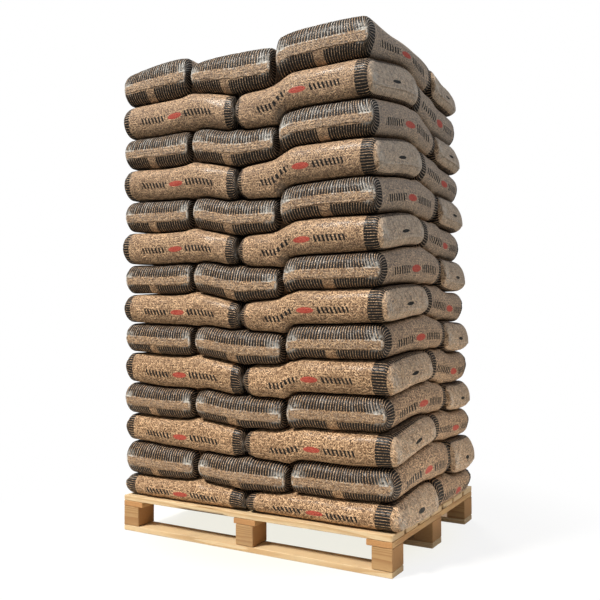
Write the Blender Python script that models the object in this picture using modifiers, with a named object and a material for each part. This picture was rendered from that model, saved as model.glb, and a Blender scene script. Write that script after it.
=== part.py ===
"""A pallet of sacks: fourteen layers of five film sacks of wood pellets on a one-way wooden pallet.

Metres, +Z up. The origin is at the centre of the pallet's underside. X runs along the pallet's long side,
and the front faces -Y. Each layer of sacks is one closed body, with the grooves between its sacks cut in.
"""

import random

import bpy
from mathutils import Vector

# Pallet
PALLET_LENGTH = 1.2
PALLET_WIDTH = 0.86
BOARD_THICKNESS = 0.022
DECK_BOARDS = 7
DECK_BOARD_GAP = 0.018
CROSS_BOARD_WIDTH = 0.098
BLOCK_LENGTH = 0.078
BLOCK_WIDTH = 0.098
BLOCK_HEIGHT = 0.078
BOARD_EDGE = 0.0015

# Stack of sacks: the sacks low in the stack are pressed flatter and wider than those at its top
LAYERS = 14
FIRST_LAYER_HEIGHT = 0.090
LOW_LAYER_HEIGHT = 0.119
TOP_LAYER_HEIGHT = 0.138
STACK_HALF_LENGTH = 0.612
STACK_HALF_WIDTH = 0.413
TAPER_X = 0.0258
TAPER_Y = -0.0084
LEAN_X = -0.015
LEAN_Y = -0.011
STACK_SHIFT_X = 0.012
STACK_SHIFT_Y = -0.005
LAYER_SWAY = 0.004
SWAY_SEED = 5

# Sacks within a layer: two lie along X, and three lie across behind or in front of them. The lines between
# the sacks of a row are shares of the layer's length, and a row of two takes a share of its depth
ALONG_LINES = (0.465,)
ACROSS_LINES = (0.279, 0.625)
FRONT_ALONG_SHARE = 0.42
BACK_ALONG_SHARE = 0.38
SACK_OVERLAP = 0.0055
ROUNDING_SHARE = 0.36
ROUNDING_STEPS = 2

# Touching pieces keep this much air between them
GAP = 0.0003

SIDES = {"left": -1, "middle": 0, "right": 1}
ROWS = {"front": -1, "middle": 0, "back": 1}


def clear_scene():
    for thing in list(bpy.data.objects):
        bpy.data.objects.remove(thing, do_unlink=True)


def new_collection(name):
    collection = bpy.data.collections.new(name)
    bpy.context.scene.collection.children.link(collection)
    return collection


def new_material(name, colour, roughness):
    material = bpy.data.materials.new(name)
    material.use_nodes = True
    shader = material.node_tree.nodes["Principled BSDF"]
    shader.inputs["Base Color"].default_value = (*colour, 1)
    shader.inputs["Roughness"].default_value = roughness
    shader.inputs["Metallic"].default_value = 0
    material.diffuse_color = (*colour, 1)
    return material


def box_between(name, low, high, rounding, steps, material, collection):
    """A box from corner low to corner high, whose edges are rounded by a Bevel."""
    low, high = Vector(low), Vector(high)
    bpy.ops.mesh.primitive_cube_add(size=1, location=(low + high) / 2)
    box = bpy.context.object
    box.name = name
    box.scale = high - low
    bpy.ops.object.transform_apply(location=False, rotation=False, scale=True)
    bevel = box.modifiers.new("rounded_edges", "BEVEL")
    bevel.width = rounding
    bevel.segments = steps
    bevel.limit_method = "NONE"
    box.data.materials.append(material)
    for other in list(box.users_collection):
        other.objects.unlink(box)
    collection.objects.link(box)
    return box


def board(name, low, high, material, collection):
    return box_between(name, low, high, BOARD_EDGE, 1, material, collection)


def build_pallet(wood, collection):
    """Bottom boards along X, blocks on them, cross boards along Y on the blocks, and the deck along X."""
    half_length, half_width = PALLET_LENGTH / 2, PALLET_WIDTH / 2
    block_z = BOARD_THICKNESS
    cross_z = block_z + BLOCK_HEIGHT
    deck_z = cross_z + BOARD_THICKNESS

    for row, side_y in ROWS.items():
        y = side_y * (half_width - CROSS_BOARD_WIDTH / 2)
        board(
            f"bottom_board_{row}",
            (-half_length, y - CROSS_BOARD_WIDTH / 2, 0),
            (half_length, y + CROSS_BOARD_WIDTH / 2, BOARD_THICKNESS - GAP),
            wood,
            collection,
        )
        for side, side_x in SIDES.items():
            x = side_x * (half_length - BLOCK_LENGTH / 2)
            board(
                f"block_{row}_{side}",
                (x - BLOCK_LENGTH / 2, y - BLOCK_WIDTH / 2, block_z),
                (x + BLOCK_LENGTH / 2, y + BLOCK_WIDTH / 2, cross_z - GAP),
                wood,
                collection,
            )

    for side, side_x in SIDES.items():
        x = side_x * (half_length - CROSS_BOARD_WIDTH / 2)
        board(
            f"cross_board_{side}",
            (x - CROSS_BOARD_WIDTH / 2, -half_width, cross_z),
            (x + CROSS_BOARD_WIDTH / 2, half_width, deck_z - GAP),
            wood,
            collection,
        )

    deck_pitch = (PALLET_WIDTH + DECK_BOARD_GAP) / DECK_BOARDS
    for index in range(DECK_BOARDS):
        y = -half_width + index * deck_pitch
        board(
            f"deck_board_{index + 1}",
            (-half_length, y, deck_z),
            (half_length, y + deck_pitch - DECK_BOARD_GAP, deck_z + BOARD_THICKNESS - GAP),
            wood,
            collection,
        )
    return deck_z + BOARD_THICKNESS


def layer_heights():
    """The first layer is squashed flat. Above it the layers thicken evenly, as they carry less."""
    step = (TOP_LAYER_HEIGHT - LOW_LAYER_HEIGHT) / (LAYERS - 2)
    return [FIRST_LAYER_HEIGHT] + [LOW_LAYER_HEIGHT + step * index for index in range(LAYERS - 1)]


def layer_box(bottom, top, sway):
    """The low and high corners of a layer, from the stack's taper and lean at its height."""
    rise = (bottom + top) / 2
    half_x = STACK_HALF_LENGTH - TAPER_X * rise
    half_y = STACK_HALF_WIDTH - TAPER_Y * rise
    centre_x = STACK_SHIFT_X + LEAN_X * rise + sway[0]
    centre_y = STACK_SHIFT_Y + LEAN_Y * rise + sway[1]
    return (
        (centre_x - half_x, centre_y - half_y, bottom),
        (centre_x + half_x, centre_y + half_y, top),
    )


def sack_cells(low, high, along_in_front):
    """(low, high) corners of the five sacks of a layer, each overlapping its neighbours a little."""
    depth = high[1] - low[1]
    length = high[0] - low[0]
    if along_in_front:
        split = low[1] + depth * FRONT_ALONG_SHARE
        rows = ((ALONG_LINES, low[1], split), (ACROSS_LINES, split, high[1]))
    else:
        split = high[1] - depth * BACK_ALONG_SHARE
        rows = ((ACROSS_LINES, low[1], split), (ALONG_LINES, split, high[1]))
    cells = []
    for lines, front, back in rows:
        shares = (0, *lines, 1)
        for left, right in zip(shares, shares[1:]):
            cell_low = (
                low[0] + length * left - SACK_OVERLAP * (left > 0),
                front - SACK_OVERLAP * (front > low[1]),
                low[2],
            )
            cell_high = (
                low[0] + length * right + SACK_OVERLAP * (right < 1),
                back + SACK_OVERLAP * (back < high[1]),
                high[2],
            )
            cells.append((cell_low, cell_high))
    return cells


def build_layer(number, low, high, film, parts, joiners):
    """One layer: its first sack, with the other four joined to it by Boolean unions."""
    rounding = ROUNDING_SHARE * (high[2] - low[2])
    cells = sack_cells(low, high, along_in_front=number % 2 == 1)
    name = f"sack_layer_{number:02d}"
    layer = box_between(name, *cells[0], rounding, ROUNDING_STEPS, film, parts)
    for index, cell in enumerate(cells[1:], start=2):
        sack = box_between(f"{name}_sack_{index}", *cell, rounding, ROUNDING_STEPS, film, joiners)
        sack.hide_render = True
        sack.display_type = "WIRE"
        join = layer.modifiers.new(f"join_sack_{index}", "BOOLEAN")
        join.operation = "UNION"
        join.solver = "EXACT"
        join.object = sack


def build_stack(deck_top, film, parts, joiners):
    draw = random.Random(SWAY_SEED)
    bottom = deck_top
    for number, height in enumerate(layer_heights(), start=1):
        sway = (draw.uniform(-LAYER_SWAY, LAYER_SWAY), draw.uniform(-LAYER_SWAY, LAYER_SWAY))
        low, high = layer_box(bottom - deck_top, bottom - deck_top + height, sway)
        low = (low[0], low[1], bottom)
        high = (high[0], high[1], bottom + height - GAP)
        build_layer(number, low, high, film, parts, joiners)
        bottom += height


def main():
    clear_scene()
    parts = new_collection("pallet_of_sacks")
    joiners = new_collection("cutters")
    wood = new_material("softwood", (0.62, 0.45, 0.26), 0.75)
    film = new_material("film_over_pellets", (0.50, 0.36, 0.23), 0.35)
    deck_top = build_pallet(wood, parts)
    build_stack(deck_top, film, parts, joiners)


main()
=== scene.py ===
"""The looks of a pallet of sacks: seventy film sacks of wood pellets, and a softwood pallet.

Every sack is a closed mesh of its own, shaped to its place in the layer and pressed against the layers
above and below. Its UV map film is in metres round the film tube and from the first seam, and its UV map
fold is in turns round it and in metres from the second seam.
"""

import math
import random

import bpy
import numpy as np
from mathutils import Matrix, Vector


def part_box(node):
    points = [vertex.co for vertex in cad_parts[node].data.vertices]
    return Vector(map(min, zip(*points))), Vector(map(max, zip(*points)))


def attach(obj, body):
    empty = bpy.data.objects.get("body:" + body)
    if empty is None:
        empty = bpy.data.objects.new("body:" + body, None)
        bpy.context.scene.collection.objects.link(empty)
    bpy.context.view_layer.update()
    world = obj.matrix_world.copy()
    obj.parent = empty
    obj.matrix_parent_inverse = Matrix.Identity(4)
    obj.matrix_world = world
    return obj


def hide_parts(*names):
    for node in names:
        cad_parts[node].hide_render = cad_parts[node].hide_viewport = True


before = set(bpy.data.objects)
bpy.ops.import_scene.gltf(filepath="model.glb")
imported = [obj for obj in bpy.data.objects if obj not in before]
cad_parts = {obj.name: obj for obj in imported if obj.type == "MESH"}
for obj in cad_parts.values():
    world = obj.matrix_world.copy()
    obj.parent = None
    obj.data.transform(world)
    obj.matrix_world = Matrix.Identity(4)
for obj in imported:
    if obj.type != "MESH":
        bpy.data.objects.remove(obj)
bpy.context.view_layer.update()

# Camera, from the photograph of 600 x 600 pixels: the origin is the centre of the pallet's underside
IMAGE_SIDE = 600
FOCAL_PIXELS = 758.7
SENSOR_WIDTH = 36.0
CAMERA_PLACE = (1.621, -2.788, 0.883)
CAMERA_YAW = math.radians(30.25)
CAMERA_PITCH = math.radians(1.16)
CAMERA_ROLL = math.radians(-0.19)

# Layers: the lines between three sacks across, and between two along, close to those of the solids
LAYERS = 14
ACROSS_LINES = (0.295, 0.641)
ALONG_LINES = (0.485,)
FRONT_ALONG_SHARE = 0.42
BACK_ALONG_SHARE = 0.38

# Sack form. A ring of points goes round the film tube, and stations run from seam to seam. A side or end
# that meets a neighbour rounds over the inner depth, and any other over its outer one, for X and then Y
FLAT_POINTS = 26
ARC_POINTS = 8
CAP_STATIONS = 13
BODY_STATIONS = 32
SIDE_POWER = 2.15
END_POWER = 2.15
RING_DEPTH = 0.036
INNER_DEPTH = 0.020
OUTER_DEPTHS = ((0.027, 0.045), (0.045, 0.045))
BARREL = 0.004
END_BOW = 0.008
INNER_BOW = 0.001
CROWN = 0.004
TOP_CROWN = 0.006
SACK_CLEARANCE = 0.0004
SIDE_CLEARANCE = 0.0015
END_CLEARANCE = 0.002
MOST_TURN = math.radians(0.25)
ROW_JITTER = 0.006

# Seams, and the fins beyond them, folded down against the end faces. The first end's value comes first.
# A seam's rise is from the sack's middle height
SEAM_INSET = 0.012
SEAM_HALF = 0.0006
SEAM_RISES = (0.004, -0.024)
FIN_HEIGHTS = (0.027, 0.010)
FIN_THICKNESS = 0.0006
FIN_INSET = 0.005
FIN_GAP = 0.0003
FIN_START = 0.001
FIN_ROWS = (0.0, 0.45, 1.0)
FIN_RUN = 0.004
FIN_SLACK = 0.12

# How far the print is shifted at an end that meets a neighbour, and at an outer clear end. At a clear end
# that meets a neighbour, the stripes go on to the seam
INNER_TUCK = 0.016
CLEAR_END_TUCK = -0.014
INNER_CLEAR_RUN = 0.057

# Relief. Runs are metres of film from a seam, and slack film starts and ends at shares of the half width
PLEAT_DEPTH = 0.0026
PLEAT_LENGTHS = (0.022, 0.06)
PLEAT_START = (0.002, 0.018)
PLEAT_END = (0.03, 0.10)
COVERED_PLEATS = 0.85
DENT_DEPTH = 0.006
DENT_LENGTHS = (0.09, 0.35)
SLACK_RUN = (0.018, 0.040)
SLACK_START = (0.66, 0.78)
SLACK_END = (0.90, 0.97)
SLACK_HEIGHT = 0.58
UPPER_SLACK = 0.5
CLEAR_END_SLACK = 0.35

# How far a row's sacks stand out of their layer's box at its left and right, where they show their ends
# or their sides. The front also bulges
FRONT_BULGE = 0.009
FRONT_ROW_OUT = {"ends": (0.014, 0.024), "sides": (0.010, 0.018)}
BACK_ROW_OUT = {"ends": (0.016, 0.028), "sides": (0.010, 0.012)}

# The right side's near and far corners stand back, over these stretches of Y, and of X
NEAR_CORNER_PULL = {"ends": 0.015, "sides": 0.030}
HIGH_CORNER_PULL = {"ends": 0.016, "sides": 0.0}
HIGH_CORNER = (1.15, 1.55)
NEAR_CORNER = (-0.45, -0.10)
FAR_CORNER_PULL = 0.018
FAR_CORNER = (0.22, 0.42)
RIGHT_PART = (0.35, 0.60)

# The surfaces between layers. The stack's middle sags, and more so higher up. The sag starts in two steps,
# and ends sooner over even layers. Stretches are shares of the front or of the side
SAG = 0.046
SAG_GROWTH = 4.5
SAG_STARTS = ((0.18, (0.0, 0.2)), (0.82, (0.31, 0.50)))
SAG_ENDS = ((-0.012, 0.022), (-0.02, 0.06))
RISE = 0.004
RISE_STRETCH = 0.1
RISE_END = (0.4, (0.9, 1.0))
PLANE_WAVE = 0.008
PLANE_WAVE_LAYERS = 8.3
PLANE_WAVE_CREST = 5
PLANE_WAVE_FALL = 0.75
GROOVE_SAG = 0.005
GROOVE_CREST = 0.009
GROOVE_REACH = 0.032
SURFACE_SWELL = 0.0022
SWELL_LENGTHS = (0.25, 0.7)
FAR_SHARE = 0.6
FRONT_FADE = 1.5

# The right side is humped. It falls towards the back higher up, and rises there low down
SIDE_HUMP = 0.034
HUMP_RISE = (-0.05, 0.33)
HUMP_FALL = (0.75, (0.42, 0.8))
HIGH_SIDE_FALL = 0.042
HIGH_SIDE = (0.66, 0.9)
HIGH_SIDE_STRETCH = (0.3, 0.7)
LOW_SIDE_RISE = 0.022
LOW_SIDE = ((0.05, 0.14), (0.1, 0.3))
LOW_SIDE_STRETCH = (0.0, 0.4)

# The load's top: its three front sacks stand at their own heights, and its right side droops
TOP_LEFT_RISE = 0.034
TOP_LEFT_SLOPE = (0.006, (0.05, 0.25))
TOP_MIDDLE_RISE = 0.006
TOP_MIDDLE_FALL = 0.014
TOP_RIGHT_RISE = 0.026
TOP_EDGE = 0.004
TOP_SIDE_DROOP = (0.024, (0.0, 0.25))
FAR_DROOP = (0.050, (0.58, 0.8))

SEED = 11


def smoothstep(low, high, value):
    t = np.clip((value - low) / (high - low), 0, 1)
    return t * t * (3 - 2 * t)


def hill(rise, fall, value, share=1.0):
    """From 0 up to 1 over the first stretch, and down again by a share over the second."""
    return smoothstep(*rise, value) * (1 - share * smoothstep(*fall, value))


class Field:
    """A smooth random field of space: a sum of plane waves with lengths between two limits."""

    def __init__(self, seed, shortest, longest, waves=14):
        draw = np.random.default_rng(seed)
        direction = draw.normal(size=(waves, 3))
        direction /= np.linalg.norm(direction, axis=1)[:, None]
        length = np.exp(draw.uniform(math.log(shortest), math.log(longest), waves))
        self.wave = direction * (2 * math.pi / length)[:, None]
        self.phase = draw.uniform(0, 2 * math.pi, waves)
        self.weight = math.sqrt(2 / waves)

    def at(self, points):
        return np.sin(points @ self.wave.T + self.phase).sum(axis=-1) * self.weight


def mesh_object(name, points, faces, uv_maps=()):
    """A smooth mesh from points and faces. A UV map is a name, and a place for each face corner."""
    mesh = bpy.data.meshes.new(name)
    mesh.from_pydata(points, [], faces)
    for map_name, corners in uv_maps:
        layer = mesh.uv_layers.new(name=map_name)
        layer.data.foreach_set("uv", np.asarray(corners, np.float32).ravel())
    mesh.shade_smooth()
    mesh.validate()
    thing = bpy.data.objects.new(name, mesh)
    bpy.context.scene.collection.objects.link(thing)
    return thing


# Layout of the sacks


class Layer:
    """One layer's box and the lines between its sacks, seen from above."""

    def __init__(self, number):
        self.number = number
        self.node = f"sack_layer_{number:02d}"
        low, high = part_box(self.node)
        self.low, self.high = np.array(low), np.array(high)
        depth = self.high[1] - self.low[1]
        if number % 2 == 1:
            self.split = self.low[1] + depth * FRONT_ALONG_SHARE
            self.front_lines, self.back_lines = ALONG_LINES, ACROSS_LINES
        else:
            self.split = self.high[1] - depth * BACK_ALONG_SHARE
            self.front_lines, self.back_lines = ACROSS_LINES, ALONG_LINES

    def across(self, share):
        return self.low[0] + (self.high[0] - self.low[0]) * share

    def groove(self, x, y):
        """Nearness, from 0 to 1, to a line between two sacks of this layer."""
        front = y < self.split
        away = np.abs(y - self.split)
        for lines, inside in ((self.front_lines, front), (self.back_lines, ~front)):
            for share in lines:
                away = np.where(inside, np.minimum(away, np.abs(x - self.across(share))), away)
        return np.exp(-((away / GROOVE_REACH) ** 2))

    def cells(self):
        """Each sack as (low, high, lies along X, its row's side of the layer, neighbours).

        The last says, for X and for Y, whether a sack lies beyond its low side and its high side."""
        rows = (
            (self.front_lines, self.low[1] - FRONT_BULGE, self.split, -1, FRONT_ROW_OUT),
            (self.back_lines, self.split, self.high[1], 1, BACK_ROW_OUT),
        )
        for lines, front, back, side, out in rows:
            left, right = out["ends" if lines is ALONG_LINES else "sides"]
            edges = [self.low[0] - left, *map(self.across, lines), self.high[0] + right]
            for index, (left, right) in enumerate(zip(edges, edges[1:])):
                low = np.array([left, front, self.low[2]])
                high = np.array([right, back, self.high[2]])
                inner = ((index > 0, index < len(lines)), (side > 0, side < 0))
                yield low, high, lines is ALONG_LINES, side, inner


class Interface:
    """The surface between two layers, or under the first layer or over the last."""

    def __init__(self, below, above):
        self.below, self.above = below, above
        self.number = below.number if below else 0
        self.swell = Field(SEED + self.number, *SWELL_LENGTHS)

    def top_front_line(self, u):
        """The front of the load's top, where each of the three sacks stands at its own height."""
        slope, stretch = TOP_LEFT_SLOPE
        left = TOP_LEFT_RISE - TOP_MIDDLE_RISE + slope * smoothstep(*stretch, u)
        middle = TOP_MIDDLE_RISE - TOP_MIDDLE_FALL * smoothstep(*ACROSS_LINES, u)
        past_first, past_second = (smoothstep(line - TOP_EDGE, line + TOP_EDGE, u) for line in ACROSS_LINES)
        return left * (1 - past_first) + middle + (TOP_RIGHT_RISE - middle) * past_second

    def front_line(self, u):
        """Height above a flat layer's top, along the front from left to right."""
        if self.above is None:
            return self.top_front_line(u)
        second = ACROSS_LINES[1]
        grown = 1 - math.exp(-self.number / SAG_GROWTH)
        before, past = SAG_ENDS[self.number % 2]
        dip = sum(share * smoothstep(*stretch, u) for share, stretch in SAG_STARTS)
        dip = SAG * dip * (1 - smoothstep(second + before, second + past, u))
        fall, stretch = RISE_END
        rise = hill((second, second + RISE_STRETCH), stretch, u, fall)
        turn = 2 * math.pi * (self.number - PLANE_WAVE_CREST) / PLANE_WAVE_LAYERS
        wave = PLANE_WAVE * math.cos(turn) * (1 - PLANE_WAVE_FALL * u)
        return RISE * rise - grown * dip + wave

    def right_line(self, v):
        """Height above a flat layer's top, along the right side from front to back."""
        if self.above is None:
            return -sum(droop * smoothstep(*stretch, v) for droop, stretch in (TOP_SIDE_DROOP, FAR_DROOP))
        height = self.number / LAYERS
        share, stretch = HUMP_FALL
        hump = hill(HUMP_RISE, stretch, v, share)
        fall = smoothstep(*HIGH_SIDE, height) * smoothstep(*HIGH_SIDE_STRETCH, v)
        low_rise = hill(*LOW_SIDE, height) * smoothstep(*LOW_SIDE_STRETCH, v)
        return SIDE_HUMP * hump - HIGH_SIDE_FALL * fall + LOW_SIDE_RISE * low_rise

    def at(self, x, y):
        if self.below is None:
            return np.zeros_like(x)
        u = np.clip((x - self.below.low[0]) / (self.below.high[0] - self.below.low[0]), 0, 1)
        v = np.clip((y - self.below.low[1]) / (self.below.high[1] - self.below.low[1]), 0, 1)
        form = (1 - v) ** FRONT_FADE * self.front_line(u)
        form += FAR_SHARE * v**FRONT_FADE * self.front_line(1 - u)
        form += u**2 * self.right_line(v) + FAR_SHARE * (1 - u) ** 2 * self.right_line(1 - v)
        flat = np.stack([x, y, np.zeros_like(x)], axis=-1)
        form += SURFACE_SWELL * self.swell.at(flat) - GROOVE_SAG * self.below.groove(x, y)
        if self.above is not None:
            form += GROOVE_CREST * self.above.groove(x, y)
        return form


# Form of one sack


def quarter_arc(count, width, height, power):
    """A quarter superellipse from (0, 1) to (1, 0), in even steps once scaled, and its scaled length."""
    angle = np.linspace(0, math.pi / 2, 600)
    across = np.sin(angle) ** (2 / power)
    up = np.cos(angle) ** (2 / power)
    run = np.concatenate([[0], np.cumsum(np.hypot(np.diff(across) * width, np.diff(up) * height))])
    wanted = np.linspace(0, run[-1], count + 1)
    return np.interp(wanted, run, across), np.interp(wanted, run, up), run[-1]


def ring_shape(height):
    """Each ring point's share of the flat half width, of the side's depth and of the half height.

    The ring starts at the middle of the underside, and its second half mirrors its first."""
    across, up, _ = quarter_arc(ARC_POINTS, RING_DEPTH, height / 2, SIDE_POWER)
    flat = np.linspace(-1, 1, FLAT_POINTS + 1)[:-1]
    still, full = np.zeros(FLAT_POINTS), np.ones(ARC_POINTS)
    flat_part = np.concatenate([flat, full, full, -flat, -full, -full])
    edge_part = np.concatenate([still, across[:-1], across[:0:-1], still, -across[:-1], -across[:0:-1]])
    height_part = np.concatenate([still + 1, up[:-1], -up[:0:-1], still - 1, -up[:-1], up[:0:-1]])
    start = FLAT_POINTS + 2 * ARC_POINTS + FLAT_POINTS // 2
    return [np.roll(part, -start) for part in (flat_part, edge_part, height_part)]


def sack_stations(length, height, depths):
    """Along a sack: each ring's place, how far it has opened from the seam, and its run of film."""
    arcs = [quarter_arc(CAP_STATIONS, height / 2, depth, END_POWER) for depth in depths]
    (opened, back, run), (far_opened, far_back, far_run) = arcs
    half = length / 2 - END_CLEARANCE
    start, end = -half + depths[0], half - depths[1]
    body = np.linspace(start, end, BODY_STATIONS + 1)[1:-1]
    place = np.concatenate([start - depths[0] * back, body, (end + depths[1] * far_back)[::-1]])
    opening = np.concatenate([opened, np.ones(len(body)), far_opened[::-1]])
    cap_film, far_film = (np.linspace(0, size, CAP_STATIONS + 1) for size in (run, far_run))
    film = np.concatenate([cap_film, run + body - start, far_film + run + end - start])
    return place, opening, film


def ring_lengths(ring):
    """Run of film round a ring, from its first point back to it."""
    steps = np.linalg.norm(np.roll(ring, -1, axis=0) - ring, axis=1)
    return np.concatenate([[0], np.cumsum(steps)])


def surface_normals(grid):
    along = np.gradient(grid, axis=0)
    around = np.roll(grid, -1, axis=1) - np.roll(grid, 1, axis=1)
    normal = np.cross(along, around)
    size = np.linalg.norm(normal, axis=-1, keepdims=True)
    return normal / np.maximum(size, 1e-9)


def tube_faces(stations, ring):
    faces = []
    for s in range(stations - 1):
        for i in range(ring):
            j = (i + 1) % ring
            faces.append((s * ring + i, (s + 1) * ring + i, (s + 1) * ring + j, s * ring + j))
    return faces


def zip_faces(ring, offset, flip):
    """Faces that close an end ring. Its point i lies above or below its point ring / 2 - i."""
    faces = []
    for i in range(-ring // 4, ring // 4):
        face = [i % ring, (i + 1) % ring, (ring // 2 - i - 1) % ring, (ring // 2 - i) % ring]
        face = [v + offset for k, v in enumerate(face) if v not in face[:k]]
        faces.append(face[::-1] if flip else face)
    return faces


def by_neighbour(near, inner, outer):
    """The inner value where a neighbour lies, and an outer one where none does, for both ends or sides."""
    return [inner if lies_there else value for lies_there, value in zip(near, outer)]


class Sack:
    """One sack's mesh, made about its own centre and then pressed between the layers below and above.

    Its own first axis runs from the end whose stripes meet the seam to the end with the clear face."""

    def __init__(self, low, high, along_x, side, inner, draw):
        self.low, self.high, self.along_x, self.side = low, high, along_x, side
        near_ends, near_sides = self.own_axes(inner)
        end_depths, side_depths = self.own_axes(OUTER_DEPTHS)
        self.end_depths = by_neighbour(near_ends, INNER_DEPTH, end_depths)
        self.side_depths = by_neighbour(near_sides, INNER_DEPTH, side_depths)
        self.bows = by_neighbour(near_ends, INNER_BOW, (END_BOW, END_BOW))
        self.tucks = by_neighbour(near_ends, INNER_TUCK, (0, CLEAR_END_TUCK))
        self.least_run = INNER_CLEAR_RUN if near_ends[1] else -1.0
        size = high - low
        self.length, self.width = size[:2] if along_x else size[1::-1]
        self.width -= 2 * SIDE_CLEARANCE
        self.height = size[2]
        self.turn = draw.uniform(-MOST_TURN, MOST_TURN)
        self.shift = self.outward() * draw.uniform(0, ROW_JITTER)
        self.dent = Field(draw.randrange(10**6), *DENT_LENGTHS)
        self.pleat = Field(draw.randrange(10**6), *PLEAT_LENGTHS, 24)
        self.points, self.faces, self.film, self.fold, self.slack = [], [], [], [], []

    def own_axes(self, pairs):
        """Pairs for X and for Y, low side first, as pairs for the sack's own two axes."""
        along, across = pairs
        return (along, across) if self.along_x else (across[:: -self.side], along[:: self.side])

    def outward(self):
        """The direction away from the stack's middle, for the sack's row."""
        to_side = 0.35 * np.sign(self.high[0] + self.low[0]) if self.along_x else 0.0
        return np.array([to_side, self.side, 0.0])

    def smooth_form(self, place, opening):
        """The film tube without relief, and each ring point's share of the side's depth and the height."""
        flat_part, edge_part, height_part = ring_shape(self.height)
        reach = np.abs(place) / (self.length / 2)
        half_width = self.width / 2 - BARREL * reach**3 - SEAM_INSET * (1 - opening)
        edge = opening[:, None] * np.where(flat_part > 0, self.side_depths[1], self.side_depths[0])
        half_height = np.maximum(self.height / 2 * opening, SEAM_HALF)
        b = flat_part * (half_width[:, None] - edge) + edge_part * edge
        rise = np.where(place < 0, *SEAM_RISES)
        c = height_part * half_height[:, None] + (rise * (1 - opening))[:, None]
        bow = np.where(place < 0, -self.bows[0], self.bows[1]) * reach**3
        a = place[:, None] - bow[:, None] * (2 * b / self.width) ** 2
        return np.stack([a, b, c], axis=-1), edge_part, height_part

    def pleats(self, place, around, seam_run, height_part):
        """How deep the film is folded near the seams. Under the first end's fin it is nearly smooth."""
        near_seam = hill(PLEAT_START, PLEAT_END, seam_run)
        line = np.stack([around, 0 * around, 0 * around], axis=-1)
        ends = np.where(np.arange(len(place)) < len(place) / 2, 0.0, 1.0)[:, None]
        fold = self.pleat.at(line[None] + np.array([0, 0.5, 0]) * ends[..., None])
        fold = np.minimum(np.abs(fold), 1.1) - 1.0
        covered = (1 - smoothstep(-0.2, 0.2, height_part)) * (place < 0)[:, None]
        return PLEAT_DEPTH * fold * near_seam * (1 - COVERED_PLEATS * covered)

    def shell(self, crown):
        """The film tube's points about the sack's centre, with shares of its height for Z."""
        place, opening, film = sack_stations(self.length, self.height, self.end_depths)
        grid, edge_part, height_part = self.smooth_form(place, opening)
        girth = ring_lengths(grid[len(place) // 2])
        self.girth_length = girth[-1]
        seam_run = np.minimum(film, film[-1] - film)[:, None]
        dent = DENT_DEPTH * np.clip(self.dent.at(grid) * 0.5 + 0.5, 0, 1) * np.abs(edge_part) ** 2
        dent = dent * smoothstep(0.3, 1, opening)[:, None]
        move = self.pleats(place, girth[:-1], seam_run, height_part) - dent
        grid = grid + surface_normals(grid) * move[..., None]

        reach_a = np.abs(grid[..., 0]) / (self.length / 2)
        reach_b = np.abs(grid[..., 1]) / (self.width / 2)
        droop = crown * np.clip(reach_a**4 + reach_b**4, 0, 1.3)
        share = grid[..., 2] / self.height + 0.5
        upper_part = np.clip(2 * share - 1, -1, 1)
        share = share - upper_part * np.where(upper_part > 0, droop, 0.5 * droop) / self.height
        grid[..., 2] = np.clip(share, 0, 1)
        self.slack += list(self.slack_of(grid, seam_run, reach_b).ravel())
        return grid, film, girth

    def slack_of(self, grid, seam_run, reach_b):
        """Where the film is loose and crinkled: at the two ends of each seam. The film's colour turns
        whitish there, partly crumpled white and partly painted glints.
        """
        near = 1 - smoothstep(*SLACK_RUN, seam_run)
        share = np.where(grid[..., 2] < SLACK_HEIGHT, 1.0, UPPER_SLACK)
        share = share * np.where(grid[..., 0] < 0, 1.0, CLEAR_END_SLACK)
        return near * share * hill(SLACK_START, SLACK_END, reach_b)

    def corner_pull(self, y):
        """How far back the stack's right side stands at a distance y from its middle line."""
        kind = "ends" if self.along_x else "sides"
        high = HIGH_CORNER_PULL[kind] * smoothstep(*HIGH_CORNER, self.low[2])
        near = (NEAR_CORNER_PULL[kind] + high) * (1 - smoothstep(*NEAR_CORNER, y))
        return near + FAR_CORNER_PULL * smoothstep(*FAR_CORNER, y)

    def place(self, grid, lower, upper):
        """From the sack's own axes into the pallet's."""
        centre = (self.low + self.high) / 2
        a = grid[..., 0] - grid[..., 1] * self.turn
        b = grid[..., 1] + grid[..., 0] * self.turn
        if self.along_x:
            x, y = centre[0] + a, centre[1] + b
        else:
            x, y = centre[0] + self.side * b, centre[1] - self.side * a
        x, y = x + self.shift[0], y + self.shift[1]
        x = x - self.corner_pull(y) * smoothstep(*RIGHT_PART, x)
        bottom = self.low[2] + lower.at(x, y) + SACK_CLEARANCE
        top = self.high[2] + upper.at(x, y) - SACK_CLEARANCE
        return np.stack([x, y, bottom + (top - bottom) * grid[..., 2]], axis=-1)

    def add_shell(self, lower, upper, crown):
        grid, film, girth = self.shell(crown)
        stations, ring = grid.shape[:2]
        self.points += list(self.place(grid, lower, upper).reshape(-1, 3))
        faces = tube_faces(stations, ring)
        faces += zip_faces(ring, 0, False) + zip_faces(ring, (stations - 1) * ring, True)
        for face in faces:
            column = [v % ring for v in face]
            wraps = 0 in column and ring - 1 in column
            for v in face:
                s, i = divmod(v, ring)
                u = girth[ring] if wraps and i == 0 else girth[i]
                self.film.append((u - girth[-1] / 2, film[s] + self.tucks[0]))
                back = film[-1] - film[s] + self.tucks[1]
                back = max(back, self.least_run + 0.05 * (back - self.least_run))
                self.fold.append((u / girth[-1] - 0.5, back))
        self.faces += faces
        self.tube_faces = len(faces)
        self.film_end = film[-1]

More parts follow.
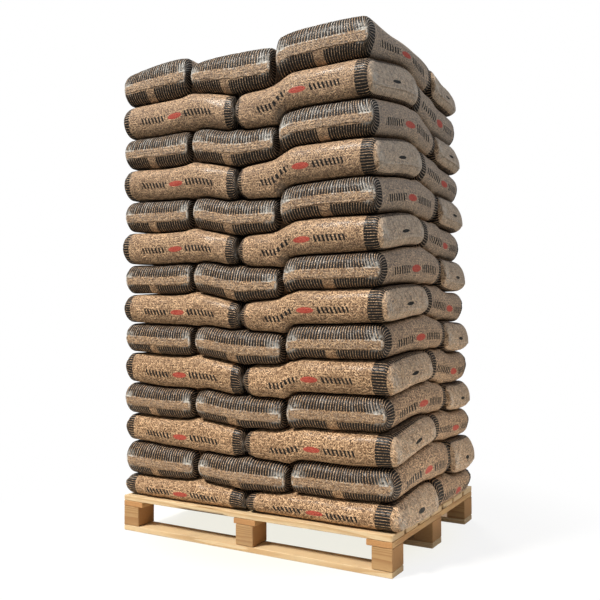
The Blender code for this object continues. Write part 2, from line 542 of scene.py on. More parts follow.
    def add_fin(self, direction, lower, upper):
        """The film's sealed edge beyond a seam, folded down against the end face."""
        count = FLAT_POINTS + 4
        span = self.width / 2 - SEAM_INSET - BARREL - FIN_INSET
        end = 0 if direction < 0 else 1
        rise, drop = SEAM_RISES[end], FIN_HEIGHTS[end]
        b = np.linspace(-span, span, count)
        wave = self.pleat.at(np.stack([b * 0.5, 0 * b + direction, 0 * b], axis=-1))
        rows = []
        for down in FIN_ROWS:
            opening = min(1, max(0, drop * down - FIN_START) / (self.height / 2 + rise))
            behind = self.end_depths[end] * (1 - (1 - opening**END_POWER) ** (1 / END_POWER))
            for thickness in (FIN_THICKNESS, 0.0):
                a = self.length / 2 - END_CLEARANCE - behind + thickness
                a = a + FIN_GAP * (1 + (1 + wave) * down)
                a = direction * (a - self.bows[end] * (2 * b / self.width) ** 2)
                c = 0.5 + (rise + FIN_START - drop * down * (1 - 0.05 * wave)) / self.height
                rows.append(np.stack([a, b, c], axis=-1))
        grid = np.stack([rows[k] for k in (0, 2, 4, 5, 3, 1)], axis=1)
        ring = len(rows)
        start = len(self.points)
        self.points += list(self.place(grid, lower, upper).reshape(-1, 3))
        self.slack += [FIN_SLACK] * (ring * count)
        faces = tube_faces(count, ring)
        for quad in ((0, 1, 4, 5), (1, 2, 3, 4)):
            faces += [quad, [(count - 1) * ring + k for k in quad[::-1]]]
        if direction > 0:
            faces = [face[::-1] for face in faces]
        for face in faces:
            for v in face:
                i = v // ring
                u, before, past = self.girth_length / 4 + b[i], -FIN_RUN, self.film_end + FIN_RUN
                self.film.append((u, before if direction < 0 else past))
                self.fold.append((0.25, past if direction < 0 else max(before, self.least_run)))
        self.faces += [tuple(v + start for v in face) for face in faces]

    def finish(self, name, material):
        uv_maps = (("film", self.film), ("fold", self.fold))
        sack = mesh_object(name, self.points, self.faces, uv_maps)
        slack = sack.data.attributes.new("slack", "FLOAT", "POINT")
        slack.data.foreach_set("value", np.asarray(self.slack, np.float32))
        smooth = [index < self.tube_faces for index in range(len(sack.data.polygons))]
        sack.data.polygons.foreach_set("use_smooth", smooth)
        sack.data.materials.append(material)
        return sack


def build_sacks(material):
    draw = random.Random(SEED)
    layers = [Layer(number) for number in range(1, LAYERS + 1)]
    faces_out = [Interface(below, above) for below, above in zip([None, *layers], [*layers, None])]
    for layer, lower, upper in zip(layers, faces_out, faces_out[1:]):
        crown = TOP_CROWN if upper.above is None else CROWN
        for count, (low, high, along_x, side, inner) in enumerate(layer.cells(), start=1):
            sack = Sack(low, high, along_x, side, inner, draw)
            sack.add_shell(lower, upper, crown)
            sack.add_fin(-1, lower, upper)
            sack.add_fin(1, lower, upper)
            piece = sack.finish(f"sack_{layer.number:02d}_{count}", material)
            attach(piece, "root")
            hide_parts(layer.node)


# Materials


class Nodes:
    """Short calls for the nodes of one tree."""

    def __init__(self, tree):
        self.tree = tree

    def add(self, kind, settings=(), **inputs):
        """A shader node of this kind. An input is given by its name, or by i and its number."""
        node = self.tree.nodes.new(f"ShaderNode{kind}")
        for key, value in dict(settings).items():
            setattr(node, key, value)
        for key, value in inputs.items():
            numbered = key[0] == "i" and key[1:].isdigit()
            self.feed(node.inputs[int(key[1:]) if numbered else key], value)
        return node

    def feed(self, socket, value):
        if isinstance(value, bpy.types.NodeSocket):
            self.tree.links.new(value, socket)
        else:
            socket.default_value = value

    def math(self, operation, a, b=0.0, clamp=False):
        settings = {"operation": operation, "use_clamp": clamp}
        return self.add("Math", settings, i0=a, i1=b).outputs[0]

    def product(self, *factors):
        result = factors[0]
        for factor in factors[1:]:
            result = self.math("MULTIPLY", result, factor)
        return result

    def total(self, *terms):
        result = terms[0]
        for term in terms[1:]:
            result = self.math("ADD", result, term)
        return result

    def vector(self, operation, a, b=(0, 0, 0), scale=1.0):
        node = self.add("VectorMath", {"operation": operation}, i0=a, i1=b, i3=scale)
        return node.outputs["Value" if operation in ("DOT_PRODUCT", "LENGTH") else "Vector"]

    def mix(self, share, a, b):
        """The colour a where the share is 0, and b where it is 1."""
        return self.add("Mix", {"data_type": "RGBA"}, i0=share, i6=a, i7=b).outputs[2]

    def coat(self, colour, *coats):
        """A colour with others laid over it in turn, each given with its share."""
        for share, over in coats:
            colour = self.mix(share, colour, over)
        return colour

    def minus(self, a, b):
        return self.math("SUBTRACT", a, b)

    def invert(self, value):
        return self.minus(1.0, value)

    def size(self, value):
        return self.math("ABSOLUTE", value)

    def most(self, a, b):
        return self.math("MAXIMUM", a, b)

    def step(self, low, high, value):
        """Rises smoothly from 0 at low to 1 at high."""
        kind = {"interpolation_type": "SMOOTHSTEP"}
        return self.add("MapRange", kind, i0=value, i1=low, i2=high, i3=0.0, i4=1.0).outputs[0]

    def grow(self, shares, stretch, value):
        """The first share before the stretch, and both together past it."""
        return self.total(shares[0], self.product(self.step(*stretch, value), shares[1]))

    def band(self, low, high, soft, value):
        """1 between low and high, and 0 outside, with edges that are soft on both sides."""
        rise = self.step(low - soft, low + soft, value)
        fall = self.step(high - soft, high + soft, value)
        return self.math("SUBTRACT", rise, fall, clamp=True)

    def noise(self, vector, scale, detail=3.0, roughness=0.55):
        settings = {"Vector": vector, "Scale": scale, "Detail": detail, "Roughness": roughness}
        return self.add("TexNoise", **settings).outputs[0]

    def parts(self, vector):
        return self.add("SeparateXYZ", i0=vector).outputs

    def uv(self, name):
        return self.parts(self.add("UVMap", {"uv_map": name}).outputs[0])

    def place(self):
        """A point's place in metres, from the origin that all pieces share."""
        return self.add("TexCoord").outputs["Object"]

    def normal(self):
        return self.add("NewGeometry").outputs["Normal"]

    def attribute(self, name):
        return self.add("Attribute", {"attribute_name": name}).outputs["Fac"]


def new_material(name):
    """A material with its short calls and its Principled BSDF."""
    material = bpy.data.materials.new(name)
    material.use_nodes = True
    return material, Nodes(material.node_tree), material.node_tree.nodes["Principled BSDF"]


# Pellets: short rods strewn in several layers. A cell is in metres, and the rods' sizes are in cells
PELLET_CELL = 0.0098
PELLET_RADIUS = 0.25
PELLET_HALF = 0.50
PELLET_LAYERS = 5
PELLET_DROP = 0.15
PELLET_SHIFT = (0.37, 0.71, 0.53)
PELLET_PALE = (0.93, 0.61, 0.355, 1)
PELLET_DARK = (0.20, 0.100, 0.045, 1)
PELLET_WORN = (0.36, 0.22, 0.12, 1)
PELLET_WORN_SHARE = 0.30
# The gap colour and the edge stretch give painted shade between the rods and at their edges
PELLET_GAP_SHADE = (0.075, 0.038, 0.018, 1)
PELLET_SHADE_EDGE = (0.18, 0.98)


def pellet_group():
    """A group that scatters short rods over a surface: their height, and a tone for each."""
    tree = bpy.data.node_groups.new("pellets", "ShaderNodeTree")
    for name, way, kind in (("Shift", "IN", "Vector"), ("Height", "OUT", "Float"), ("Tone", "OUT", "Float")):
        tree.interface.new_socket(name, in_out=f"{way}PUT", socket_type=f"NodeSocket{kind}")
    n = Nodes(tree)
    given = tree.nodes.new("NodeGroupInput").outputs[0]
    normal = n.normal()
    scaled = n.vector("SCALE", n.vector("ADD", n.place(), given), scale=1 / PELLET_CELL)
    cell = n.add("TexVoronoi", {"feature": "F1"}, Vector=scaled, Scale=1.0)

    def flatten(vector):
        """The part of a vector that lies along the surface."""
        lift = n.vector("DOT_PRODUCT", vector, normal)
        return n.vector("SUBTRACT", vector, n.vector("SCALE", normal, scale=lift))

    offset = flatten(n.vector("SUBTRACT", scaled, cell.outputs["Position"]))
    heading = flatten(n.vector("SUBTRACT", cell.outputs["Color"], (0.5, 0.5, 0.5)))
    heading = n.vector("NORMALIZE", heading)
    along = n.vector("DOT_PRODUCT", offset, heading)
    reach = n.vector("DOT_PRODUCT", offset, offset)
    across = n.minus(reach, n.product(along, along))
    past = n.most(n.minus(n.size(along), PELLET_HALF), 0.0)
    away = n.total(across, n.product(past, past))
    inside = n.invert(n.math("DIVIDE", away, PELLET_RADIUS**2))
    height = n.math("SQRT", n.most(inside, 0.0))
    out = tree.nodes.new("NodeGroupOutput")
    n.feed(out.inputs[0], height)
    n.feed(out.inputs[1], n.parts(cell.outputs["Color"])[0])
    return tree


def pellet_bed(n, place):
    """Colour and height of the pellets seen through the film, with painted shade in the gaps and at the
    rods' edges.
    """
    group = pellet_group()
    height, tone = 0.0, 0.5
    for index in range(PELLET_LAYERS):
        shift = tuple(index * part for part in PELLET_SHIFT)
        made = n.add("Group", {"node_tree": group}, i0=shift)
        level = n.minus(made.outputs[0], PELLET_DROP * index)
        above = n.math("GREATER_THAN", level, height)
        tone = n.add("Mix", {"data_type": "FLOAT"}, i0=above, i2=tone, i3=made.outputs[1]).outputs[0]
        height = n.most(height, level)
    worn = n.product(n.step(0.4, 0.7, n.noise(place, 7.0, 2.0)), PELLET_WORN_SHARE)
    pellet = n.coat(PELLET_DARK, (tone, PELLET_PALE), (worn, PELLET_WORN))
    # Painted shade: darker where the rods are low, in the gaps and at their edges
    return n.mix(n.step(*PELLET_SHADE_EDGE, height), PELLET_GAP_SHADE, pellet), height


# Print on the film, in metres along it from a seam, and in turns round it from the middle of its top
STRIPE_PITCH = 0.0114
STRIPE_WOBBLE = 1.6
STRIPE_EDGE = (-0.90, -0.60)
SIDE_STRIPE_WIDER = 0.03
# The lower stripes are widened as painted shade of the sacks' undersides
LOWER_STRIPE_SHADE_WIDENING = 0.05
SEAMED_BAND = (0.007, 0.103)
SEAMED_BAND_LOWER = (0.030, 0.103)
SEAMED_BAND_MIDDLE = (0.05, 0.078)
SIDE_CUT = 0.012
SIDE_CUT_TURNS = (0.080, 0.060)
CLEAR_BAND = (0.050, 0.111)
BAND_SOFT = 0.0012
RAGGED = 0.006
BACK_SEAM = (0.480, 0.022)
BACK_SEAM_SOFT = 0.001
HANDLE_MARK = (-0.012, -0.002)
HANDLE_MARK_SIZE = (0.027, 0.0048)
SIDE_MIDDLE = 0.25
SIDE_PRINT_DROP = 0.018
SIDE_PRINT_SHIFT = 0.008
OVAL_SIZE = (0.035, 0.0130)
OVAL_SHARE = 0.86
HATCH_SPAN = (0.049, 0.180)
HATCH_SPAN_SOFT = 0.0015
HATCH_HALF = 0.0135
HATCH_SOFT = 0.001
HATCH_PITCH = 0.0170
HATCH_SLANT = 0.35
HATCH_EDGE = (-0.2, 0.1)
GIRTH = 0.98
INK = (0.009, 0.007, 0.006, 1)
RED_INK = (0.50, 0.055, 0.040, 1)


class FilmPrint:
    """The ink on the film: stripes at both ends, hatched bars and an oval on both long sides."""

    def __init__(self, n, place):
        self.n = n
        self.u, self.v = n.uv("film")[0:2]
        self.turn, self.v_back = n.uv("fold")[0:2]
        self.turn_size = n.size(self.turn)
        shake = n.minus(n.noise(place, 110.0, 1.0), 0.5)
        self.ragged = n.product(shake, RAGGED)
        self.place = place

    def stripes(self):
        n = self.n
        wobble = n.product(n.noise(self.place, 26.0, 1.0), STRIPE_WOBBLE)
        turns = n.product(self.u, 2 * math.pi / STRIPE_PITCH)
        from_side = n.size(n.minus(self.turn_size, SIDE_MIDDLE))
        below = n.math("GREATER_THAN", self.turn_size, SIDE_MIDDLE)
        wider = n.product(n.step(0.10, 0.05, from_side), SIDE_STRIPE_WIDER)
        # Painted shade: the stripes on the lower half are drawn wider to darken it
        wider = n.total(wider, n.product(below, LOWER_STRIPE_SHADE_WIDENING))
        stripe = n.step(*STRIPE_EDGE, n.total(n.math("SINE", n.total(turns, wobble)), wider))

        cut = n.product(n.step(*SIDE_CUT_TURNS, from_side), SIDE_CUT)
        run = n.total(self.v, self.ragged, n.product(cut, n.step(*SEAMED_BAND_MIDDLE, self.v)))
        upper = n.band(*SEAMED_BAND, BAND_SOFT, run)
        lower = n.band(*SEAMED_BAND_LOWER, BAND_SOFT, run)
        seamed = n.most(n.product(lower, below), n.product(upper, n.invert(below)))
        middle, half_width = BACK_SEAM
        away = n.size(n.minus(self.turn, middle))
        window = n.step(half_width - BACK_SEAM_SOFT, half_width + BACK_SEAM_SOFT, away)
        clear = n.band(*CLEAR_BAND, BAND_SOFT, n.total(self.v_back, self.ragged))
        return n.product(n.most(n.product(seamed, window), clear), stripe)

    def oval(self, a, b, size):
        """An ellipse about 0, 0 of the coordinates a and b."""
        n = self.n
        first = n.math("POWER", n.math("DIVIDE", a, size[0]), 2.0)
        second = n.math("POWER", n.math("DIVIDE", b, size[1]), 2.0)
        return n.step(1.15, 0.85, n.total(first, second))

    def handle_mark(self):
        n = self.n
        a = n.product(n.minus(self.turn, HANDLE_MARK[0]), GIRTH)
        return self.oval(a, n.minus(self.v_back, HANDLE_MARK[1]), HANDLE_MARK_SIZE)

    def side_place(self):
        """Metres from the middle of the print on a long side: along the sack, and up it."""
        n = self.n
        along = n.product(n.minus(self.v, self.v_back), 0.5)
        up = n.product(n.minus(SIDE_MIDDLE, self.turn_size), GIRTH)
        return n.total(along, SIDE_PRINT_SHIFT), n.total(up, SIDE_PRINT_DROP)

    def hatch(self):
        n = self.n
        along, up = self.side_place()
        slant = n.total(along, n.product(up, HATCH_SLANT))
        bars = n.math("SINE", n.product(slant, 2 * math.pi / HATCH_PITCH))
        bars = n.step(*HATCH_EDGE, n.total(bars, n.product(self.ragged, 60.0)))
        span = n.band(*HATCH_SPAN, HATCH_SPAN_SOFT, n.size(along))
        outer, inner = HATCH_HALF + HATCH_SOFT, HATCH_HALF - HATCH_SOFT
        tall = n.step(outer, inner, n.size(up))
        return n.product(bars, span, tall)

    def dark(self):
        return self.n.most(self.n.most(self.stripes(), self.handle_mark()), self.hatch())

    def red(self):
        return self.n.product(self.oval(*self.side_place(), OVAL_SIZE), OVAL_SHARE)


# Film. Heights are above the ground, and runs are metres of film from a seam. A pair of shares is the one
# low down and how much it grows higher up
# The white below is laid over the lip as painted glints, and over slack film as crumpled white with painted
# glints
WHITE_FILM_AND_GLINT = (0.80, 0.79, 0.75, 1)
# The next three give a painted sky reflection, which greys the film more higher up
HIGH_SKY_SHEEN = (0.42, 0.42, 0.41, 1)
HIGH_SKY_SHEEN_SHARE = 0.12
SKY_SHEEN_HEIGHTS = (0.4, 1.8)
# The next three give a painted sky sheen on film turned to the right, stronger higher up
RIGHT_SIDE_SHEEN = (0.30, 0.305, 0.30, 1)
RIGHT_SHEEN_SHARES = (0.12, 0.26)
RIGHT_SHEEN_HEIGHTS = (0.5, 1.4)
END_HAZE = (0.88, 0.72, 0.55, 1)
END_HAZE_SHARE = 0.32
END_HAZE_RUN = (0.070, 0.030)
SEAM_SHADE = (0.20, 0.125, 0.07, 1)
SHADE_SHARE = 0.35
SEAM_SHADE_RUN = (0.042, 0.028)
SHADED_HEIGHTS = (1.1, 0.5)
# The next three place painted glints on the lip, between the upper stripes, stronger higher up
LIP_GLINT_RUN = (0.105, 0.060)
LIP_GLINT_SHARES = (0.32, 0.43)
LIP_GLINT_HEIGHTS = (0.9, 1.7)
# Slack film's white is partly crumpled film and partly painted glints
SLACK_WHITE_AND_GLINT_SHARE = 0.75
WRINKLED_RUN = (0.115, 0.05)
STREAKS_ROUND = 105.0
STREAKS_ALONG = 14.0


def film_colour(n, place, ink, pellets, slack, streak, crinkle):
    """The pellets' colour under a painted sky sheen, haze, painted shade, painted glints, whitish crumples
    that are partly painted glints, and ink.
    """
    height_up = n.parts(place)[2]
    to_right = n.step(0.2, 0.8, n.parts(n.normal())[0])
    # Painted glints: white streaks between the upper stripes near the first seam, more higher up
    lip_glint_mask = n.product(n.step(*LIP_GLINT_RUN, ink.v), n.math("LESS_THAN", ink.turn_size, SIDE_MIDDLE))
    lip_glint_mask = n.product(lip_glint_mask, n.step(0.40, 0.55, n.noise(place, 16.0, 2.0)), n.step(0.44, 0.60, streak))
    lip_glints = n.product(lip_glint_mask, n.grow(LIP_GLINT_SHARES, LIP_GLINT_HEIGHTS, height_up))
    # Slack film turns whitish: partly its own crumpled white, partly painted glints
    slack_white_and_glints = n.product(slack, n.step(0.36, 0.60, crinkle), SLACK_WHITE_AND_GLINT_SHARE)
    # Painted sky sheen: film facing right is greyed, more so higher up
    right_sheen = n.product(to_right, n.grow(RIGHT_SHEEN_SHARES, RIGHT_SHEEN_HEIGHTS, height_up))
    # Painted sky reflection: the film is greyed more higher up
    high_sky_sheen = n.product(n.step(*SKY_SHEEN_HEIGHTS, height_up), HIGH_SKY_SHEEN_SHARE)
    blotches = n.step(0.30, 0.70, n.noise(place, 55.0, 3.0, 0.6))
    end_haze = n.product(n.step(*END_HAZE_RUN, ink.v_back), blotches, END_HAZE_SHARE)
    shade = n.product(n.step(*SEAM_SHADE_RUN, ink.v), n.step(*SHADED_HEIGHTS, height_up))
    return n.coat(
        pellets,
        (high_sky_sheen, HIGH_SKY_SHEEN),
        (right_sheen, RIGHT_SIDE_SHEEN),
        (end_haze, END_HAZE),
        (n.product(shade, SHADE_SHARE), SEAM_SHADE),
        (ink.red(), RED_INK),
        (lip_glints, WHITE_FILM_AND_GLINT),
        (ink.dark(), INK),
        (slack_white_and_glints, WHITE_FILM_AND_GLINT),
    )


def film_relief(n, place, ink, height, slack, streak, crinkle):
    """The film's fine wrinkles, which are deeper near the seams and where it is slack."""
    near = n.most(n.step(*WRINKLED_RUN, ink.v), n.step(*WRINKLED_RUN, ink.v_back))
    wrinkle = n.product(n.noise(place, 38.0, 3.0, 0.6), n.total(0.35, n.product(near, 0.15)))
    streaks = n.product(streak, near, 1.1)
    crumples = n.product(crinkle, slack, 0.9)
    return n.total(wrinkle, streaks, crumples, n.product(height, 0.10))


def film_material():
    """Clear film over wood pellets, printed, glossy, and whitish where it is crumpled, partly with painted
    glints. Its colour also holds painted sheen and painted shade.
    """
    material, n, shader = new_material("film_over_pellets")
    place = n.place()
    pellets, height = pellet_bed(n, place)
    ink = FilmPrint(n, place)
    slack = n.attribute("slack")
    crinkle = n.noise(place, 95.0, 3.0, 0.65)
    round_film, along_film = n.product(ink.u, STREAKS_ROUND), n.product(ink.v, STREAKS_ALONG)
    spread = n.add("CombineXYZ", i0=round_film, i1=along_film).outputs[0]
    streak = n.noise(spread, 1.0, 2.0, 0.5)

    relief = film_relief(n, place, ink, height, slack, streak, crinkle)
    pellet_bump = n.add("Bump", Strength=0.9, Distance=0.0022, Height=height)
    film_bump = n.add("Bump", Strength=0.6, Distance=0.006, Height=relief)
    n.feed(shader.inputs["Base Color"], film_colour(n, place, ink, pellets, slack, streak, crinkle))
    glosses = {"Roughness": 0.6, "Specular IOR Level": 0.25, "Coat Weight": 0.16, "Coat Roughness": 0.22}
    for name, value in glosses.items():
        shader.inputs[name].default_value = value
    n.feed(shader.inputs["Normal"], pellet_bump.outputs[0])
    n.feed(shader.inputs["Coat Normal"], film_bump.outputs[0])
    return material


# Wood. For boards along X, boards across and blocks: the pale and the late wood, the grain's axis, and the
# share of the end grain's colour
RING_SPACING = 0.0046
PITH_DEPTH = 0.060
PITH_SPREAD = 0.10
GRAIN_DRIFT = 0.09
RING_WAVER = 0.003
KNOT_BEND = 0.010
WOOD_STAIN = (0.30, 0.20, 0.12, 1)
WOOD_STAIN_SHARE = 0.40
END_GRAIN = (0.46, 0.19, 0.055, 1)
KNOT_CORE = (0.16, 0.075, 0.03, 1)
BARK = (0.075, 0.042, 0.024, 1)
WOODS = {
    "along": ((0.73, 0.56, 0.34, 1), (0.54, 0.33, 0.15, 1), "x", 0.1),
    "across": ((0.62, 0.38, 0.17, 1), (0.42, 0.21, 0.08, 1), "y", 0.5),
    "blocks": ((0.47, 0.285, 0.125, 1), (0.32, 0.155, 0.055, 1), "x", 0.35),
}


def wood_rings(n, place, own, stretched, grain, knot_near):
    """The late wood's share: rings about a trunk's middle that lies below the board."""
    here = n.parts(place)
    side = here[1] if grain == "x" else here[0]
    drift = n.product(n.minus(n.noise(stretched, 6.0, 2.0), 0.5), GRAIN_DRIFT)
    first = n.total(side, drift, n.product(n.minus(own, 0.5), PITH_SPREAD))
    second = n.total(here[2], PITH_DEPTH)
    reach = n.math("SQRT", n.total(n.math("POWER", first, 2.0), n.math("POWER", second, 2.0)))
    reach = n.total(reach, n.product(knot_near, KNOT_BEND))
    reach = n.total(reach, n.product(n.noise(stretched, 30.0, 2.0), RING_WAVER))
    saw = n.math("FRACT", n.math("DIVIDE", reach, RING_SPACING))
    return n.product(n.step(0.35, 0.92, saw), n.step(1.0, 0.94, saw))


def wood_material(kind):
    """Sawn softwood with rings, fibres, stains, a few knots, and bark along some edges."""
    pale, late, grain, end_share = WOODS[kind]
    material, n, shader = new_material(f"softwood_{kind}")
    place = n.place()
    own = n.add("ObjectInfo").outputs["Random"]
    shifted = n.vector("ADD", place, n.vector("SCALE", (3.1, 5.3, 7.7), scale=own))
    stretched = n.vector("MULTIPLY", shifted, (0.06, 1, 1) if grain == "x" else (1, 0.06, 1))
    knot = n.add("TexVoronoi", {"feature": "F1"}, Vector=shifted, Scale=5.5).outputs["Distance"]
    knot_near = n.step(0.16, 0.03, knot)
    ring = wood_rings(n, place, own, stretched, grain, knot_near)
    fibre = n.noise(stretched, 260.0, 3.0, 0.6)

    facing = n.parts(n.normal())[0 if grain == "x" else 1]
    end_grain = n.step(0.6, 0.9, n.size(facing))
    stain = n.step(0.48, 0.78, n.noise(shifted, 5.0, 4.0, 0.6))
    colour = n.coat(
        pale,
        (n.product(ring, 0.75), late),
        (n.product(n.step(0.45, 0.75, fibre), 0.35), late),
        (n.product(stain, WOOD_STAIN_SHARE), WOOD_STAIN),
        (n.product(knot_near, 0.35), late),
        (n.product(end_grain, end_share), END_GRAIN),
        (n.step(0.070, 0.045, knot), KNOT_CORE),
        (n.attribute("bark"), BARK),
    )
    n.feed(shader.inputs["Base Color"], colour)
    n.feed(shader.inputs["Roughness"], n.total(0.62, n.product(fibre, 0.2)))
    form = n.total(n.product(fibre, 0.6), n.product(ring, 0.4))
    bump = n.add("Bump", Strength=0.6, Distance=0.0008, Height=form)
    n.feed(shader.inputs["Normal"], bump.outputs[0])
    return material


# Boards and blocks. A wane is where a board keeps some bark along its lower front edge, from x to x
PLANK_STEP = 0.020
PLANK_ARRIS = 0.0022
PLANK_WARP = 0.0007
WARP_LENGTHS = (0.25, 1.2)
WEAR_LENGTHS = (0.02, 0.12)
CHIP_DEPTH = 0.006
CHIP_REACH = (0.012, 0.035)
WANE_DEPTH = 0.009
WANE_WIDTH = 0.03
WANE = {"deck_board_1": (-0.34, -0.07), "bottom_board_middle": (0.1, 0.4), "deck_board_5": (0.2, 0.62)}


def plank_lines(low, high):
    """Where a plank's mesh is cut along one axis: close beside both arrises, and evenly between."""
    steps = max(2, round((high - low) / PLANK_STEP))
    inner = np.linspace(low + PLANK_ARRIS, high - PLANK_ARRIS, steps + 1)
    return np.concatenate([[low], inner, [high]])


def plank_faces(lines):
    """Points and quads of a box whose faces are cut along the lines of each axis."""
    index, faces = {}, []
    for axis in range(3):
        one, two = (axis + 1) % 3, (axis + 2) % 3
        for end in (0, len(lines[axis]) - 1):
            for i in range(len(lines[one]) - 1):
                for j in range(len(lines[two]) - 1):
                    quad = []
                    for di, dj in ((0, 0), (1, 0), (1, 1), (0, 1)):
                        key = [0, 0, 0]
                        key[axis], key[one], key[two] = end, i + di, j + dj
                        quad.append(index.setdefault(tuple(key), len(index)))
                    faces.append(quad if end else quad[::-1])
    points = [[line[k] for line, k in zip(lines, key)] for key in index]
    return np.array(points), faces


def chip_depths(points, low, high, draw):
    """How deep a few chips go, along the edges that run with the grain."""
    centre, half = (low + high) / 2, (high - low) / 2
    grain_axis = int(np.argmax(half))
    depth = np.zeros(len(points))
    for _ in range(draw.randint(1, 3)):
        corner = np.array([draw.choice((-1, 1)) for _ in range(3)])
        spot = centre + half * corner
        spot[grain_axis] = draw.uniform(low[grain_axis], high[grain_axis])
        reach = draw.uniform(*CHIP_REACH)
        away = np.linalg.norm((points - spot) * (0.5, 1, 1), axis=1)
        depth += CHIP_DEPTH * np.clip(1 - away / reach, 0, 1)
    return depth


def plank(node, draw, wane=None):
    """A sawn board or block in place of a CAD node, with worn edges, chips and a slight warp."""
    low, high = (np.array(corner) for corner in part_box(node))
    points, faces = plank_faces([plank_lines(low[k], high[k]) for k in range(3)])
    centre, half = (low + high) / 2, (high - low) / 2
    way = np.sign(points - centre)
    extreme = np.abs(np.abs(points - centre) - half) < 1e-6
    arris = extreme.sum(axis=1) >= 2
    wear = Field(draw.randrange(10**6), *WEAR_LENGTHS).at(points)
    depth = np.where(arris, PLANK_ARRIS * (0.55 + 0.25 * np.clip(wear, -1.5, 1.5)), 0)
    depth += chip_depths(points, low, high, draw) * arris
    bark = np.zeros(len(points))
    if wane is not None:
        start, end = wane
        along = hill((start, start + 0.07), (end - 0.03, end), points[:, 0])
        edge = arris & (way[:, 1] < 0) & (way[:, 2] < 0)
        depth += np.where(edge, WANE_DEPTH * along * (1 + 0.25 * wear), 0)
        bark = along * (edge | ((way[:, 2] < 0) & (points[:, 1] < low[1] + WANE_WIDTH)))
    warp = Field(draw.randrange(10**6), *WARP_LENGTHS).at(points)
    inward = PLANK_WARP * (np.clip(warp, -1.5, 1.5) + 1.5) / 3
    moved = points - way * np.where(extreme, depth[:, None] + inward[:, None], 0)
    piece = mesh_object(f"plank_{node}", moved, faces)
    for polygon in piece.data.polygons:
        polygon.use_smooth = False
    value = piece.data.attributes.new("bark", "FLOAT", "POINT")
    value.data.foreach_set("value", bark.astype(np.float32))
    return piece


def build_pallet():
    draw = random.Random(SEED)
    along, across, blocks = (wood_material(kind) for kind in WOODS)
    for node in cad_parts:
        if node.startswith("sack_layer"):
            continue
        piece = plank(node, draw, WANE.get(node))
        kind = node.split("_")[0]
        piece.data.materials.append({"cross": across, "block": blocks}.get(kind, along))
        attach(piece, "root")
        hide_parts(node)


# Stage. Near the pallet the floor's glow is cream, a painted warm shade, and the floor throws light back
# there. Further off it is plain white.
# Its reaches are metres from the pallet's middle
FLOOR_RADIUS = 40
FLOOR_DROP = 0.0005
WHITE_REACH = (0.8, 1.5)
WHITE_SHARES = (0.84, 0.16)
# The cream near the pallet is a painted warm shade in the floor's glow
WARM_PAINTED_SHADE = (1.0, 0.985, 0.89, 1)
WARM_SHADE_REACH = (0.45, 0.75)
BOUNCE_REACH = (1.2, 2.6)
NEAR_BOUNCE = (0.65, 0.62, 0.56, 1)
FAR_BOUNCE = (0.09, 0.09, 0.08, 1)

# Each light: place, target, width, watts, colour, and how much it shows in highlights
LIGHTS = {
    "key": ((-5.7, -10.35, 16.1), (0, 0, 0.8), 3.6, 5100, (1.0, 0.96, 0.89), 0.3),
    "fill": ((3.6, 0.2, 4.0), (0, 0, 1.3), 2.5, 61, (0.88, 0.94, 1.0), 1.0),
    "from_ground": ((1.35, 0.0, 0.03), (1.35, 0.0, 1.0), 1.1, 6, (1.0, 0.93, 0.82), 0.5),
    "back": ((-3.5, 5.5, 4.5), (0, 0, 0.9), 3.0, 300, (1.0, 0.98, 0.95), 0.4),
}


def aim_camera():
    """The camera as fitted to the photograph."""
    data = bpy.data.cameras.new("camera")
    data.sensor_width = SENSOR_WIDTH
    data.lens = FOCAL_PIXELS / IMAGE_SIDE * SENSOR_WIDTH
    camera = bpy.data.objects.new("camera", data)
    camera.matrix_world = Matrix.Translation(CAMERA_PLACE)
    for angle, axis in ((CAMERA_YAW, "Z"), (math.pi / 2 + CAMERA_PITCH, "X"), (CAMERA_ROLL, "Z")):
        camera.matrix_world = camera.matrix_world @ Matrix.Rotation(angle, 4, axis)
    bpy.context.scene.collection.objects.link(camera)
    bpy.context.scene.camera = camera


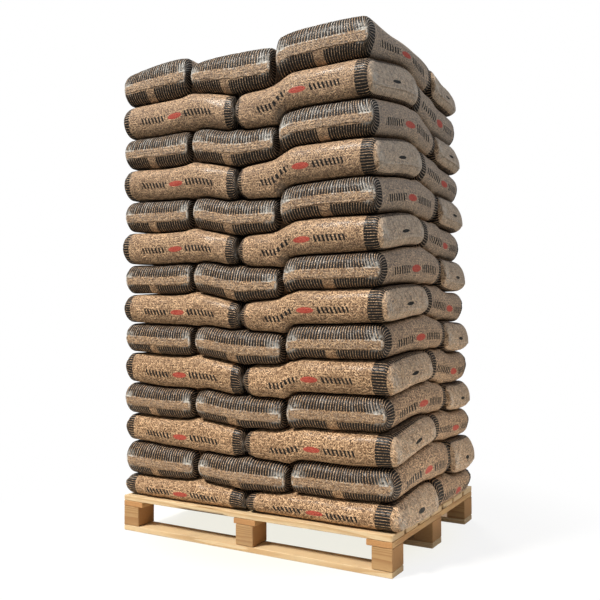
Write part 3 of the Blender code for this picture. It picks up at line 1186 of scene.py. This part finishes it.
def show_to_camera(n, seen, unseen):
    """Ends a tree with one shader for the camera's own rays, and another for all the rest."""
    to_camera = n.add("LightPath").outputs["Is Camera Ray"]
    both = n.add("MixShader", i0=to_camera, i1=unseen.outputs[0], i2=seen.outputs[0])
    end = next(node for node in n.tree.nodes if node.type.startswith("OUTPUT"))
    n.feed(end.inputs[0], both.outputs[0])


def studio_floor():
    """A white floor with a faint shadow, which throws light back near the pallet."""
    place = (0, 0, -FLOOR_DROP)
    bpy.ops.mesh.primitive_circle_add(vertices=128, radius=FLOOR_RADIUS, fill_type="NGON", location=place)
    floor = bpy.context.object
    floor.name = "floor"
    material, n, shader = new_material("white_floor")
    shader.inputs["Base Color"].default_value = (0.93, 0.93, 0.92, 1)
    shader.inputs["Roughness"].default_value = 0.9
    reach = n.vector("LENGTH", n.place())
    away = n.grow(WHITE_SHARES, WHITE_REACH, reach)
    # Painted warm shade: the floor's glow is cream near the pallet
    tint = n.mix(n.step(*WARM_SHADE_REACH, reach), WARM_PAINTED_SHADE, (1, 1, 1, 1))
    white = n.add("Emission", Color=tint, Strength=1.0)
    shown = n.add("MixShader", i0=away, i1=shader.outputs[0], i2=white.outputs[0])
    bounce = n.mix(n.step(*BOUNCE_REACH, reach), NEAR_BOUNCE, FAR_BOUNCE)
    ground = n.add("BsdfDiffuse", Color=bounce)
    show_to_camera(n, shown, ground)
    floor.data.materials.append(material)


def light_stage():
    """The lights, and a sky that is white to the camera and dim to the rest."""
    for name, (place, target, size, power, colour, gloss) in LIGHTS.items():
        data = bpy.data.lights.new(name, "AREA")
        data.shape = "DISK"
        data.size = size
        data.energy = power
        data.color = colour
        data.specular_factor = gloss
        light = bpy.data.objects.new(name, data)
        light.location = place
        light.rotation_mode = "QUATERNION"
        light.rotation_quaternion = (Vector(target) - Vector(place)).to_track_quat("-Z", "Y")
        light.visible_camera = False
        bpy.context.scene.collection.objects.link(light)
    world = bpy.data.worlds.new("studio")
    bpy.context.scene.world = world
    world.use_nodes = True
    n = Nodes(world.node_tree)
    dim = n.add("Background", Color=(0.96, 0.98, 1.0, 1), Strength=0.24)
    white = n.add("Background", Color=(1, 1, 1, 1), Strength=1.0)
    show_to_camera(n, white, dim)
    bpy.context.scene.view_settings.view_transform = "Standard"


build_sacks(film_material())
build_pallet()
light_stage()
studio_floor()
aim_camera()
